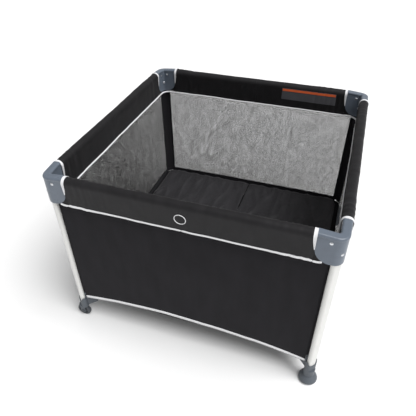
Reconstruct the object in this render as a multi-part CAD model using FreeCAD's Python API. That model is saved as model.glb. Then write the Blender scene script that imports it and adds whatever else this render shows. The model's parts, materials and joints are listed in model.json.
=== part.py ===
"""Square folding playpen: four tube legs under plastic corner brackets, padded top rails that
break in the middle, four base struts on a central hub, fabric walls, floor and mattress.

Millimetres, +Z up, origin on the floor under the middle of the pen. The front is at -Y.
Every corner piece is drawn once for the corner at +X +Y and mirrored to the other three.
"""
import FreeCAD, Part
import math
import os
from FreeCAD import Vector

# ---- overall sizes ----
LEG_CENTRE = 493.0  # each leg's axis in X and in Y
RIM_TOP = 762.0  # top of the corner brackets
STRUT_Z = 139.0  # the base struts' axis
RAIL_OUT = 7.0  # the rails' axis lies this far outside the legs' axes
RAIL_PLANE = LEG_CENTRE + RAIL_OUT  # the rails' axis, across the side that they run along

# ---- fold geometry ----
RAIL_PIVOT_INSET = 27.0  # from a leg's axis to its rails' pivots, along the side
STRUT_PIVOT_INSET = 18.0  # from a leg's axis to its strut's pivot, along the diagonal
RAIL_PIVOT = LEG_CENTRE - RAIL_PIVOT_INSET
RAIL_REACH = RAIL_PIVOT  # the two halves of a rail meet at the middle of the side
STRUT_REACH = math.sqrt(2) * RAIL_REACH  # so that rails and struts fold by the same angle
HUB_PIVOT = math.sqrt(2) * RAIL_PIVOT_INSET - STRUT_PIVOT_INSET

# ---- clearances ----
RUNNING_GAP = 0.05  # radial, of a pin in its eye
OPEN_PIVOT_GAP = 0.5  # radial, of the pin at the middle of a rail
SOFT_GAP = 0.3  # between soft pieces that ride on different bodies

# ---- tubes ----
RAIL_R = 9.5
RAIL_WALL = 1.5
STRUT_R = 6.5
STRUT_WALL = 1.5

# ---- bracket rims and the heights that hang from them ----
RIM_WIDTH = 30.0
RIM_HEIGHT = 15.0
RIM_DIP = 6.0  # how far the rim sinks at the corner
RIM_ROOM = 5.5  # between a rail and the level part of a rim
RAIL_Z = RIM_TOP - RIM_HEIGHT - RIM_ROOM - RAIL_R  # the rails' axis

# ---- legs ----
LEG_WIDTH = 36.0  # across the diagonal
LEG_DEPTH = 20.0
LEG_WALL = 1.6
LEG_FOOT_Z = 66.0
LEG_TOP_Z = RIM_TOP - RIM_HEIGHT - 2 * RIM_DIP  # inside the bracket's core

# ---- corner brackets ----
BRACKET_HEIGHT = 114.0
BRACKET_BOTTOM = RIM_TOP - BRACKET_HEIGHT
ARM_LENGTH = 70.0  # from a leg's axis to the ends of the bracket's arms
ARM_END = LEG_CENTRE - ARM_LENGTH
PLATE_T = 3.0
RAIL_SIDE_GAP = 1.0  # between a rail's end and the plates
PLATE_GAP = 2 * (RAIL_R + RAIL_SIDE_GAP)  # between the outer and the inner plate
CORNER_R = 30.5  # inside the outer plate, round the leg
CORNER_CENTRE = RAIL_PLANE + PLATE_GAP / 2 - CORNER_R  # centre of the bracket's rounded corner
INNER_CORNER_R = 16.0
SKIRT_ARC_R = 52.0
CORE_START = RAIL_PIVOT + RAIL_R + 0.7  # clear of the rail's rounded end

# ---- top rails and their middle locks ----
RAIL_BORE = RAIL_R - RAIL_WALL
TONGUE_LENGTH = 50.0
TONGUE_T = 2 * RAIL_BORE
TONGUE_R = RAIL_R - 0.5
TONGUE_PLUG = 12.0  # how deep the tongue plugs the tube
PLAIN_END = 36.0
LOCK_PLATE_T = 2.5
LOCK_SIDE_GAP = 0.5
LOCK_LONG_END = 58.0
LOCK_SHORT_END = 13.0
LOCK_TOP = RAIL_R + 1.0
LOCK_BOTTOM = RAIL_R + 1.0 + LOCK_PLATE_T
LOCK_RIVET = LOCK_LONG_END - 11.0
BUTTON_FROM = 18.0
BUTTON_TO = 30.0
BUTTON_HALF = 5.0
BUTTON_BOTTOM = LOCK_BOTTOM + 6.0
BUTTON_TOP = RAIL_R - 0.5  # its lip, over the housing's floor
BUTTON_LIP = 1.0
BUTTON_SIDE_GAP = 0.2

# ---- pins and rivets ----
PIN_R = 3.0
RIVET_HEAD_R = 5.5
RIVET_HEAD_T = 2.5
HEAD_BED = 0.3  # how deep the leg rivet's heads sit in the bracket
LEG_RIVET_Z = BRACKET_BOTTOM + 42.0
LEG_RIVET_R = 2.5

# ---- base struts and hub ----
STRUT_BORE = STRUT_R - STRUT_WALL
CHEEK_GAP = 0.5
CHEEK_T = 3.0
HUB_POST_R = 9.0
HUB_CHEEK_END = HUB_PIVOT + 7.8
HUB_BOTTOM = STRUT_Z - STRUT_R - 4.5
HUB_TOP = STRUT_Z + STRUT_R + 0.5
HUB_FOOT_R = 24.0
HUB_FOOT_T = 6.0
HUB_CAP_R = 40.0  # covers the hub's cheeks
HUB_CAP_T = 2.2
STRAP_LENGTH = 64.0
STRAP_WIDTH = 22.0
STRAP_T = 1.4

# ---- foot sockets, pads and wheels ----
SOCKET_WALL = 4.0
SOCKET_SCOOP_Z = STRUT_Z - 40.0
SOCKET_TIP_Z = STRUT_Z - 19.0
SOCKET_NECK_Z = 34.0
SOCKET_BASE_R = 21.0
CHEEK_REACH = 38.0  # inward of the strut's pin
CHEEK_TOP_DROP = 0.5
CHEEK_FOOT = 6.0
CHEEK_TIP_DEPTH = 8.0
CHEEK_TIP_LEAN = 2.0
CHEEK_BELLY_DEPTH = 34.0
PAD_FLAT_R = 25.0
PAD_R = 35.5
PAD_WIDEST_Z = 12.0
PAD_NECK_R = 21.5
PAD_WAIST_Z = 23.12
PAD_WAIST_R = PAD_R - 5.0
WHEEL_R = 30.0
WHEEL_WIDTH = 16.0
WHEEL_GAP = 1.5
WHEEL_EDGE_R = 4.8
WHEEL_RECESS = 4.0
WHEEL_RECESS_R = 20.4
WHEEL_BOSS_R = 8.8
FORK_T = 3.5
FORK_HALF = 11.0
WHEEL_OUT = LEG_CENTRE + PAD_R - WHEEL_R  # the axle in X, so that wheels reach as far out as pads
AXLE_R = 4.0
AXLE_HEAD_R = 6.5
AXLE_HEAD_T = 2.0

# ---- soft goods ----
SLEEVE_WIDTH = 38.0
SLEEVE_BOTTOM = BRACKET_BOTTOM
SLEEVE_TOP = RIM_TOP + 2.0
SEAM_GAP = 6.0  # between a sleeve's flaps, under its rail
SEAM_DROP = 8.0  # from the rail down to where the flaps close up
WALL_T = 3.0
WALL_PLANE = RAIL_PLANE - SEAM_GAP / 2 - 1.0  # the walls hang under the sleeves' inner flaps
WALL_HALF = LEG_CENTRE - 25.0  # clear of the legs
WALL_BOTTOM = STRUT_Z + 1.0
FLOOR_Z = HUB_TOP + 2.5
FLOOR_T = 1.5
FLOOR_CORNER = 40.0
FLOOR_HOLE_R = HUB_CAP_R + 6.0
MATTRESS_HALF = LEG_CENTRE - 17.0
MATTRESS_T = 21.7
MATTRESS_CORNER_R = 45.0

X, Y, Z = Vector(1, 0, 0), Vector(0, 1, 0), Vector(0, 0, 1)
CORNERS = {
    "front_left": (-1, -1),
    "front_right": (1, -1),
    "back_left": (-1, 1),
    "back_right": (1, 1),
}
WHEEL_CORNERS = ("front_left", "back_left")


# ---- drawing helpers ----
def box(x, y, z):
    """A box from (low, high) pairs."""
    made = Part.makeBox(x[1] - x[0], y[1] - y[0], z[1] - z[0])
    made.translate(Vector(x[0], y[0], z[0]))
    return made


def rod(radius, start, end):
    """A round bar from one point to another."""
    along = end - start
    return Part.makeCylinder(radius, along.Length, start, along)


def stadium(width, depth, low, high):
    """A bar with round ends on the origin: width along X, depth along Y."""
    half, r = width / 2 - depth / 2, depth / 2
    middle = box((-half, half), (-r, r), (low, high))
    ends = [rod(r, Vector(s * half, 0, low), Vector(s * half, 0, high)) for s in (-1, 1)]
    return middle.fuse(ends).removeSplitter()


def at_corner(shape):
    """Turns a piece drawn on the origin, Y pointing out of the pen, on to the leg at +X +Y."""
    turned = shape.copy()
    turned.rotate(Vector(0, 0, 0), Z, -45)
    turned.translate(Vector(LEG_CENTRE, LEG_CENTRE, 0))
    return turned


def swap(shape):
    """Mirrors X and Y."""
    return shape.mirror(Vector(0, 0, 0), Vector(1, -1, 0))


def to_quadrant(shape, sx, sy):
    """Mirrors a piece of the +X +Y quadrant into another quadrant."""
    if sx < 0:
        shape = shape.mirror(Vector(0, 0, 0), X)
    if sy < 0:
        shape = shape.mirror(Vector(0, 0, 0), Y)
    return shape


def save(name, shapes):
    """Writes one node, from one solid or from several that stay separate."""
    shapes = shapes if isinstance(shapes, list) else [shapes]
    solids = [s for shape in shapes for s in shape.Solids]
    for solid in solids:
        if not solid.isValid() or solid.Volume <= 0:
            raise ValueError(f"{name} holds a bad solid")
    whole = solids[0] if len(solids) == 1 else Part.makeCompound(solids)
    whole.exportStep(f"parts/{name}.step")


# ---- corner bracket ----
def quarter_block(reach, radius, low, high, start=ARM_END):
    """A block from start out to reach both ways, with its outer upright edge rounded."""
    block = box((start, reach), (start, reach), (low, high))
    edges = [
        e
        for e in block.Edges
        if abs(e.CenterOfMass.x - reach) < 1e-6 and abs(e.CenterOfMass.y - reach) < 1e-6
    ]
    return block.makeFillet(radius, edges)


def band(outer, outer_r, inner, inner_r, low, high):
    """An upright L-shaped wall with a rounded corner."""
    hollow = quarter_block(inner, inner_r, low - 1, high + 1, ARM_END - 1)
    return quarter_block(outer, outer_r, low, high).cut(hollow)


def tilted(shape):
    """Tilts a rim that is level about its arm ends, so that its corner sinks by the dip."""
    hinge = Vector(ARM_END, RAIL_PLANE, RIM_TOP - RIM_HEIGHT / 2)
    corner = CORNER_CENTRE + (RAIL_PLANE - CORNER_CENTRE) * math.cos(math.pi / 4)
    run = math.sqrt(2) * corner - (ARM_END + RAIL_PLANE) / math.sqrt(2)
    turned = shape.copy()
    turned.rotate(hinge, Vector(1, -1, 0), -math.degrees(math.atan(RIM_DIP / run)))
    return turned


def bracket_rim():
    """The handrail on top of a bracket, tilted so that it sinks towards the corner."""
    top = RIM_TOP - RIM_HEIGHT / 2
    half_h = RIM_HEIGHT / 2
    flat = RIM_WIDTH / 2 - half_h

    def point(across, up):
        return Vector(CORNER_CENTRE, RAIL_PLANE + across, top + up)

    outline = Part.Wire(
        [
            Part.LineSegment(point(-flat, half_h), point(flat, half_h)).toShape(),
            Part.Arc(
                point(flat, half_h), point(flat + half_h, 0), point(flat, -half_h)
            ).toShape(),
            Part.LineSegment(point(flat, -half_h), point(-flat, -half_h)).toShape(),
            Part.Arc(
                point(-flat, -half_h), point(-flat - half_h, 0), point(-flat, half_h)
            ).toShape(),
        ]
    )
    section = Part.Face(outline)
    start = ARM_END - RIM_WIDTH
    arm = section.extrude(Vector(start - CORNER_CENTRE, 0, 0))
    turn = section.revolve(Vector(CORNER_CENTRE, CORNER_CENTRE, 0), Z, -90)
    rim = arm.fuse([turn, swap(arm)]).removeSplitter()
    reach = (ARM_END, RAIL_PLANE * 2)
    return tilted(rim).common(box(reach, reach, (0, RIM_TOP * 2)))


def skirt_cutter():
    """What the curved lower edge takes off the arm along X."""
    start, low = ARM_END - 5, BRACKET_BOTTOM - 8
    turn = ARM_END + SKIRT_ARC_R
    top = BRACKET_BOTTOM + SKIRT_ARC_R
    lean = SKIRT_ARC_R * math.cos(math.pi / 4)
    y = RAIL_PLANE - RIM_WIDTH

    def point(x, z):
        return Vector(x, y, z)

    outline = Part.Wire(
        [
            Part.Arc(
                point(ARM_END, top), point(turn - lean, top - lean), point(turn, BRACKET_BOTTOM)
            ).toShape(),
            Part.LineSegment(point(turn, BRACKET_BOTTOM), point(turn, low)).toShape(),
            Part.LineSegment(point(turn, low), point(start, low)).toShape(),
            Part.LineSegment(point(start, low), point(start, top)).toShape(),
            Part.LineSegment(point(start, top), point(ARM_END, top)).toShape(),
        ]
    )
    return Part.Face(outline).extrude(Vector(0, 2 * RIM_WIDTH, 0))


def leg_rivet_axis():
    """The ends of the rivet through bracket and leg, where its flat heads bed into the round corner."""
    plate_out = RAIL_PLANE + PLATE_GAP / 2 + PLATE_T
    plate_in = RAIL_PLANE - PLATE_GAP / 2
    outer_r = plate_out - CORNER_CENTRE
    outer = CORNER_CENTRE + (outer_r - HEAD_BED) * math.cos(math.pi / 4)
    inner_r = INNER_CORNER_R - PLATE_T
    chord = math.sqrt(inner_r**2 - RIVET_HEAD_R**2) + HEAD_BED
    inner = plate_in - INNER_CORNER_R + chord * math.cos(math.pi / 4)
    return Vector(inner, inner, LEG_RIVET_Z), Vector(outer, outer, LEG_RIVET_Z)


def corner_bracket(cuts):
    """The moulded corner: rim, outer and inner plates, and the core that grips the leg."""
    half = PLATE_GAP / 2
    high = RIM_TOP + RIM_DIP
    ceiling = tilted(box((0, 2 * RAIL_PLANE), (0, 2 * RAIL_PLANE), (0, RIM_TOP - RIM_HEIGHT / 2)))
    out_r = RAIL_PLANE + half - CORNER_CENTRE
    outer = band(
        RAIL_PLANE + half + PLATE_T, out_r + PLATE_T, RAIL_PLANE + half, out_r, BRACKET_BOTTOM, high
    )
    inner = band(
        RAIL_PLANE - half,
        INNER_CORNER_R,
        RAIL_PLANE - half - PLATE_T,
        INNER_CORNER_R - PLATE_T,
        BRACKET_BOTTOM,
        high,
    )
    core = band(
        RAIL_PLANE + half + 1,
        out_r + 1,
        RAIL_PLANE - half - 1,
        INNER_CORNER_R - 1,
        BRACKET_BOTTOM,
        LEG_TOP_Z,
    )
    near = box((CORE_START, LEG_CENTRE * 2), (CORE_START, LEG_CENTRE * 2), (0, RIM_TOP))
    leg_room = at_corner(stadium(LEG_WIDTH, LEG_DEPTH, 0, LEG_TOP_Z))
    cutter = skirt_cutter()
    plates = outer.fuse(inner).common(ceiling)
    body = plates.fuse([core.common(near), bracket_rim()])
    return body.cut([leg_room, cutter, swap(cutter)] + cuts).removeSplitter()


# ---- legs, rivets and pins ----
def leg_tube(cuts):
    """A flat-sided tube."""
    outside = stadium(LEG_WIDTH, LEG_DEPTH, LEG_FOOT_Z, LEG_TOP_Z)
    bore = stadium(LEG_WIDTH - 2 * LEG_WALL, LEG_DEPTH - 2 * LEG_WALL, 0, RIM_TOP)
    return at_corner(outside.cut(bore)).cut(cuts)


def rivet(start, end, radius):
    """A shaft between two faces, with a domed head on each."""
    along = (end - start).normalize()
    pieces = [rod(radius, start, end)]
    dome_r = (RIVET_HEAD_R**2 + RIVET_HEAD_T**2) / (2 * RIVET_HEAD_T)
    for face, out in ((start, along * -1), (end, along)):
        ball = Part.makeSphere(dome_r, face - out * (dome_r - RIVET_HEAD_T))
        room = rod(RIVET_HEAD_R, face, face + out * RIVET_HEAD_T * 2)
        pieces.append(ball.common(room))
    return pieces[0].fuse(pieces[1:])


def rail_rivet():
    """The pivot of the rail that runs along X."""
    half = PLATE_GAP / 2 + PLATE_T
    start = Vector(RAIL_PIVOT, RAIL_PLANE - half, RAIL_Z)
    return rivet(start, start + Vector(0, 2 * half, 0), PIN_R)


def strut_pin(radius=PIN_R):
    """The pin of a strut's outer end, on the origin, Y out of the pen."""
    half = STRUT_R + CHEEK_GAP + CHEEK_T
    at = Vector(0, -STRUT_PIVOT_INSET, STRUT_Z)
    return rod(radius, at - X * half, at + X * half)


def hub_pin(radius=PIN_R):
    """The pin of a strut's inner end, with the strut along Y."""
    half = STRUT_R + CHEEK_GAP + CHEEK_T
    at = Vector(0, HUB_PIVOT, STRUT_Z)
    return rod(radius, at - X * half, at + X * half)


# ---- foot sockets, pads and wheels ----
def socket_cheek():
    """One of the two cheeks that hold a strut, on the origin, Y out of the pen."""
    inward = -STRUT_PIVOT_INSET
    top = STRUT_Z + STRUT_R - CHEEK_TOP_DROP
    low = LEG_FOOT_Z - CHEEK_FOOT

    def point(out, up):
        return Vector(STRUT_R + CHEEK_GAP, out, up)

    tip = point(inward - CHEEK_REACH, top)
    under_tip = point(inward - CHEEK_REACH + CHEEK_TIP_LEAN, top - CHEEK_TIP_DEPTH)
    belly = point(inward - CHEEK_REACH * 0.37, top - CHEEK_BELLY_DEPTH)
    collar = -LEG_DEPTH / 2
    outline = Part.Wire(
        [
            Part.LineSegment(point(collar, low), point(collar, top - 12)).toShape(),
            Part.Arc(
                point(collar, top - 12), point(collar - 2, top - 3), point(inward + 2, top)
            ).toShape(),
            Part.LineSegment(point(inward + 2, top), tip).toShape(),
            Part.LineSegment(tip, under_tip).toShape(),
            Part.Arc(under_tip, belly, point(collar - SOCKET_WALL, low)).toShape(),
            Part.LineSegment(point(collar - SOCKET_WALL, low), point(collar, low)).toShape(),
        ]
    )
    return Part.Face(outline).extrude(Vector(CHEEK_T, 0, 0))


def foot_socket(has_wheel):
    """The moulded shoe on a leg: collar with a scooped outer edge, cheeks for the strut, and a base."""
    low = 2 * WHEEL_R + WHEEL_GAP if has_wheel else SOCKET_NECK_Z
    width, depth = LEG_WIDTH + 2 * SOCKET_WALL, LEG_DEPTH + 2 * SOCKET_WALL
    collar = stadium(width, depth, low, SOCKET_TIP_Z)
    cheek = socket_cheek()
    body = collar.fuse([cheek, cheek.mirror(Vector(0, 0, 0), X)])
    base_top = LEG_FOOT_Z + SOCKET_WALL
    base = rod(SOCKET_BASE_R, Vector(0, 0, low), Vector(0, 0, base_top))
    body = body.fuse(base)
    scoop_r = width / 2 - 1
    scoop = rod(
        scoop_r,
        Vector(0, -LEG_DEPTH / 2 + 2, SOCKET_SCOOP_Z + scoop_r),
        Vector(0, depth, SOCKET_SCOOP_Z + scoop_r),
    )
    room = stadium(LEG_WIDTH, LEG_DEPTH, LEG_FOOT_Z, RIM_TOP)
    body = at_corner(body.cut([scoop, room, strut_pin()]))
    if not has_wheel:
        return body.removeSplitter()
    inner = WHEEL_WIDTH / 2 + WHEEL_GAP
    for side in (-1, 1):
        faces = sorted((LEG_CENTRE + side * inner, LEG_CENTRE + side * (inner + FORK_T)))
        x = (WHEEL_OUT - FORK_HALF, WHEEL_OUT + FORK_HALF)
        plate = box(x, faces, (WHEEL_R, low + SOCKET_WALL))
        axle = Vector(WHEEL_OUT, faces[0], WHEEL_R)
        plate = plate.fuse(rod(FORK_HALF, axle, axle + Y * FORK_T))
        body = body.fuse(plate)
    middle = Vector(WHEEL_OUT, LEG_CENTRE, WHEEL_R)
    bore = rod(AXLE_R, middle - Y * WHEEL_R, middle + Y * WHEEL_R)
    return body.cut(bore).removeSplitter()


def foot_pad():
    """The bell-shaped foot under a socket."""

    def point(r, z):
        return Vector(r, 0, z)

    outline = Part.Wire(
        [
            Part.LineSegment(point(0, 0), point(PAD_FLAT_R, 0)).toShape(),
            Part.Arc(
                point(PAD_FLAT_R, 0), point(PAD_R - 2, PAD_WIDEST_Z / 3), point(PAD_R, PAD_WIDEST_Z)
            ).toShape(),
            Part.Arc(
                point(PAD_R, PAD_WIDEST_Z),
                point(PAD_WAIST_R, PAD_WAIST_Z),
                point(PAD_NECK_R, SOCKET_NECK_Z),
            ).toShape(),
            Part.LineSegment(point(PAD_NECK_R, SOCKET_NECK_Z), point(0, SOCKET_NECK_Z)).toShape(),
            Part.LineSegment(point(0, SOCKET_NECK_Z), point(0, 0)).toShape(),
        ]
    )
    pad = Part.Face(outline).revolve(Vector(0, 0, 0), Z, 360)
    pad.translate(Vector(LEG_CENTRE, LEG_CENTRE, 0))
    return Part.Solid(pad) if pad.ShapeType == "Shell" else pad


def wheel():
    """A moulded wheel with a round tread, a boss and recessed sides."""
    half = WHEEL_WIDTH / 2
    at = Vector(WHEEL_OUT, LEG_CENTRE, WHEEL_R)
    disc = rod(WHEEL_R, at - Y * half, at + Y * half)
    rims = [e for e in disc.Edges if isinstance(e.Curve, Part.Circle)]
    disc = disc.makeFillet(WHEEL_EDGE_R, rims)
    for side in (-1, 1):
        face = at + Y * (side * half)
        ring = rod(WHEEL_RECESS_R, face, face - Y * (side * WHEEL_RECESS))
        boss = rod(WHEEL_BOSS_R, face, face - Y * (side * WHEEL_RECESS))
        disc = disc.cut(ring.cut(boss))
    return disc.cut(rod(AXLE_R + RUNNING_GAP, at - Y * half * 2, at + Y * half * 2))


def wheel_axle():
    """The axle, headed outside both cheeks of the fork."""
    half = WHEEL_WIDTH / 2 + WHEEL_GAP + FORK_T
    at = Vector(WHEEL_OUT, LEG_CENTRE, WHEEL_R)
    shaft = rod(AXLE_R, at - Y * (half + AXLE_HEAD_T), at + Y * (half + AXLE_HEAD_T))
    heads = [
        rod(AXLE_HEAD_R, at + Y * (s * half), at + Y * (s * (half + AXLE_HEAD_T))) for s in (-1, 1)
    ]
    return shaft.fuse(heads).removeSplitter()


# ---- top rails ----
def rail_half(with_tongue):
    """Half a rail, from its pivot on the bracket to the middle of the side, along X."""

    def on_axis(x):
        return Vector(x, RAIL_PLANE, RAIL_Z)

    end = TONGUE_LENGTH if with_tongue else PLAIN_END
    across = Vector(0, RAIL_R, 0)
    straight = rod(RAIL_R, on_axis(end), on_axis(RAIL_PIVOT))
    eye = rod(RAIL_R, on_axis(RAIL_PIVOT) - across, on_axis(RAIL_PIVOT) + across)
    longer = rod(RAIL_R, on_axis(end), on_axis(RAIL_PIVOT + RAIL_R))
    tube = straight.fuse(eye.common(longer))
    bore_start = end + TONGUE_PLUG if with_tongue else end - 1
    tube = tube.cut(rod(RAIL_BORE, on_axis(bore_start), on_axis(RAIL_PIVOT + 2 * RAIL_R)))
    tube = tube.cut(
        rod(PIN_R + RUNNING_GAP, on_axis(RAIL_PIVOT) - across * 2, on_axis(RAIL_PIVOT) + across * 2)
    )
    if not with_tongue:
        lock_rivet = rod(PIN_R, on_axis(LOCK_RIVET) - across * 2, on_axis(LOCK_RIVET) + across * 2)
        return tube.cut(lock_rivet).removeSplitter()
    half = TONGUE_T / 2
    y = (RAIL_PLANE - half, RAIL_PLANE + half)
    z = (RAIL_Z - TONGUE_R, RAIL_Z + TONGUE_R)
    tongue = box((0, end), y, z)
    tongue = tongue.fuse(rod(TONGUE_R, on_axis(0) - Y * half, on_axis(0) + Y * half))
    widest = box((-TONGUE_R, end), (0, 2 * RAIL_PLANE), (0, 2 * RAIL_Z))
    tongue = tongue.common(widest)
    bore = rod(PIN_R + OPEN_PIVOT_GAP, on_axis(0) - across * 2, on_axis(0) + across * 2)
    return tube.fuse(tongue).cut(bore).removeSplitter()


def lock_housing():
    """The channel over the middle joint, with its rivet and hinge pin: separate solids."""
    inner = RAIL_R + LOCK_SIDE_GAP
    outer = inner + LOCK_PLATE_T
    x = (-LOCK_SHORT_END, LOCK_LONG_END)
    z = (RAIL_Z - LOCK_BOTTOM, RAIL_Z + LOCK_TOP)
    channel = box(x, (RAIL_PLANE - outer, RAIL_PLANE + outer), z)
    room = box(
        (x[0] - 1, x[1] + 1), (RAIL_PLANE - inner, RAIL_PLANE + inner), (z[0] + LOCK_PLATE_T, z[1] + 1)
    )
    clear = BUTTON_SIDE_GAP
    slot = box(
        (BUTTON_FROM - clear, BUTTON_TO + clear),
        (RAIL_PLANE - BUTTON_HALF - clear, RAIL_PLANE + BUTTON_HALF + clear),
        (z[0] - 1, RAIL_Z),
    )
    pins = []
    for along in (0, LOCK_RIVET):
        start = Vector(along, RAIL_PLANE - outer, RAIL_Z)
        pins.append(rod(PIN_R, start, start + Vector(0, 2 * outer, 0)))
    return [channel.cut([room, slot] + pins)] + pins


def lock_button():
    """The release that is pushed up into the housing."""
    stem = box(
        (BUTTON_FROM, BUTTON_TO),
        (RAIL_PLANE - BUTTON_HALF, RAIL_PLANE + BUTTON_HALF),
        (RAIL_Z - BUTTON_BOTTOM, RAIL_Z - BUTTON_TOP),
    )
    lip = box(
        (BUTTON_FROM - BUTTON_LIP, BUTTON_TO + BUTTON_LIP),
        (RAIL_PLANE - BUTTON_HALF - BUTTON_LIP, RAIL_PLANE + BUTTON_HALF + BUTTON_LIP),
        (RAIL_Z - LOCK_BOTTOM + LOCK_PLATE_T, RAIL_Z - BUTTON_TOP),
    )
    return stem.fuse(lip).removeSplitter()


# ---- base ----
def strut():
    """A base strut along the diagonal, rounded about its two pins."""
    inner, outer = Vector(0, HUB_PIVOT, STRUT_Z), Vector(0, HUB_PIVOT + STRUT_REACH, STRUT_Z)
    beyond = Vector(0, STRUT_R, 0)
    body = rod(STRUT_R, inner, outer)
    whole = rod(STRUT_R, inner - beyond, outer + beyond)
    for at in (inner, outer):
        body = body.fuse(rod(STRUT_R, at - X * STRUT_R, at + X * STRUT_R).common(whole))
    bore = rod(STRUT_BORE, inner - beyond * 2, outer + beyond * 2)
    holes = [
        rod(PIN_R + RUNNING_GAP, at - X * 2 * STRUT_R, at + X * 2 * STRUT_R) for at in (inner, outer)
    ]
    body = body.cut([bore] + holes)
    body.rotate(Vector(0, 0, 0), Z, -45)
    return body


def hub_body():
    """The hub: a post on a round foot, with a pair of cheeks for each strut."""
    post = rod(HUB_POST_R, Vector(0, 0, 0), Vector(0, 0, HUB_TOP))
    foot = Part.makeCone(HUB_FOOT_R, HUB_FOOT_R * 0.6, HUB_FOOT_T)
    body = post.fuse(foot)
    side = STRUT_R + CHEEK_GAP
    cuts = []
    for turn in range(4):
        for s in (-1, 1):
            x = sorted((s * side, s * (side + CHEEK_T)))
            cheek = box(x, (0, HUB_CHEEK_END), (HUB_BOTTOM, HUB_TOP))
            cheek.rotate(Vector(0, 0, 0), Z, 45 + 90 * turn)
            body = body.fuse(cheek)
        pin = hub_pin()
        pin.rotate(Vector(0, 0, 0), Z, 45 + 90 * turn)
        cuts.append(pin)
    return body.cut(cuts).removeSplitter()


def hub_pins():
    """The four pins in the hub."""
    pins = []
    for turn in range(4):
        pin = hub_pin()
        pin.rotate(Vector(0, 0, 0), Z, 45 + 90 * turn)
        pins.append(pin)
    return pins


def hub_cap():
    """The round cover on the hub."""
    cap = rod(HUB_CAP_R, Vector(0, 0, HUB_TOP), Vector(0, 0, HUB_TOP + HUB_CAP_T))
    upper = [e for e in cap.Edges if abs(e.CenterOfMass.z - HUB_TOP - HUB_CAP_T) < 1e-6]
    return cap.makeFillet(HUB_CAP_T * 0.6, [e for e in upper if isinstance(e.Curve, Part.Circle)])


def pull_strap():
    """The flat strap on the hub's cap that the pen is folded with."""
    low = HUB_TOP + HUB_CAP_T
    half, wide = STRAP_LENGTH / 2, STRAP_WIDTH / 2
    return box((-half, half), (-wide, wide), (low, low + STRAP_T))


# ---- soft goods ----
def rail_sleeve(over_long_end):
    """Half a padded sleeve along X: a round-topped pad with flaps down both sides of the rail."""
    half = SLEEVE_WIDTH / 2
    x = (SOFT_GAP / 2, ARM_END - SOFT_GAP)
    y = (RAIL_PLANE - half, RAIL_PLANE + half)
    body = box(x, y, (SLEEVE_BOTTOM, SLEEVE_TOP))
    edges = [
        e for e in body.Edges if abs(e.CenterOfMass.z - SLEEVE_TOP) < 1e-6 and e.Length > SLEEVE_WIDTH + 1
    ]
    body = body.makeFillet(half * 0.85, edges)
    tube_room = RAIL_R + SOFT_GAP
    slot = box(
        (x[0] - 1, x[1] + 1),
        (RAIL_PLANE - tube_room, RAIL_PLANE + tube_room),
        (RAIL_Z - RAIL_R - SEAM_DROP, RAIL_Z),
    )
    seam = box(
        (x[0] - 1, x[1] + 1),
        (RAIL_PLANE - SEAM_GAP / 2, RAIL_PLANE + SEAM_GAP / 2),
        (SLEEVE_BOTTOM - 1, RAIL_Z),
    )
    round_top = rod(tube_room, Vector(-1, RAIL_PLANE, RAIL_Z), Vector(ARM_END, RAIL_PLANE, RAIL_Z))
    lock_half = RAIL_R + LOCK_SIDE_GAP + LOCK_PLATE_T + SOFT_GAP
    lock_end = (LOCK_LONG_END if over_long_end else TONGUE_LENGTH) + 1
    lock_room = box(
        (-1, lock_end),
        (RAIL_PLANE - lock_half, RAIL_PLANE + lock_half),
        (SLEEVE_BOTTOM - 1, RAIL_Z + LOCK_TOP + SOFT_GAP),
    )
    return body.cut([slot, seam, round_top, lock_room]).removeSplitter()


def wall():
    """A fabric side wall at +Y, from the sleeve down to its hem."""
    half = WALL_T / 2
    return box(
        (-WALL_HALF, WALL_HALF),
        (WALL_PLANE - half, WALL_PLANE + half),
        (WALL_BOTTOM, SLEEVE_BOTTOM - SOFT_GAP),
    )


def upright_edges(shape, reach):
    """The upright edges at a square's four corners."""
    return [
        e
        for e in shape.Edges
        if max(abs(abs(e.CenterOfMass.x) - reach), abs(abs(e.CenterOfMass.y) - reach)) < 1e-6
    ]


def floor_sheet():
    """The fabric floor on the struts, open over the hub."""
    reach = WALL_PLANE - WALL_T / 2 - SOFT_GAP
    sheet = box((-reach, reach), (-reach, reach), (FLOOR_Z, FLOOR_Z + FLOOR_T))
    sheet = sheet.makeChamfer(FLOOR_CORNER, upright_edges(sheet, reach))
    return sheet.cut(rod(FLOOR_HOLE_R, Vector(0, 0, 0), Vector(0, 0, RIM_TOP)))


def mattress():
    """The mattress, on the floor sheet."""
    low = FLOOR_Z + FLOOR_T + SOFT_GAP
    reach = (-MATTRESS_HALF, MATTRESS_HALF)
    pad = box(reach, reach, (low, low + MATTRESS_T))
    return pad.makeFillet(MATTRESS_CORNER_R, upright_edges(pad, MATTRESS_HALF))


# ---- the pen ----
def write_corners():
    """One bracket, leg, socket and set of fasteners per corner, with a pad or a wheel."""
    pivot, leg_pin = rail_rivet(), rivet(*leg_rivet_axis(), LEG_RIVET_R)
    fasteners = [pivot, swap(pivot), leg_pin, at_corner(strut_pin())]
    bracket = corner_bracket(fasteners[:3])
    tube = leg_tube([leg_pin])
    for corner, (sx, sy) in CORNERS.items():
        has_wheel = corner in WHEEL_CORNERS
        pieces = {
            "corner_bracket": bracket,
            "leg": tube,
            "foot_socket": foot_socket(has_wheel),
        }
        if has_wheel:
            pieces["wheel"] = wheel()
            pieces["wheel_axle"] = wheel_axle()
        else:
            pieces["foot_pad"] = foot_pad()
        for name, shape in pieces.items():
            save(f"{name}_{corner}", to_quadrant(shape, sx, sy))
        save(f"fasteners_{corner}", [to_quadrant(f, sx, sy) for f in fasteners])
        save(f"strut_{corner}", to_quadrant(strut(), sx, sy))


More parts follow.
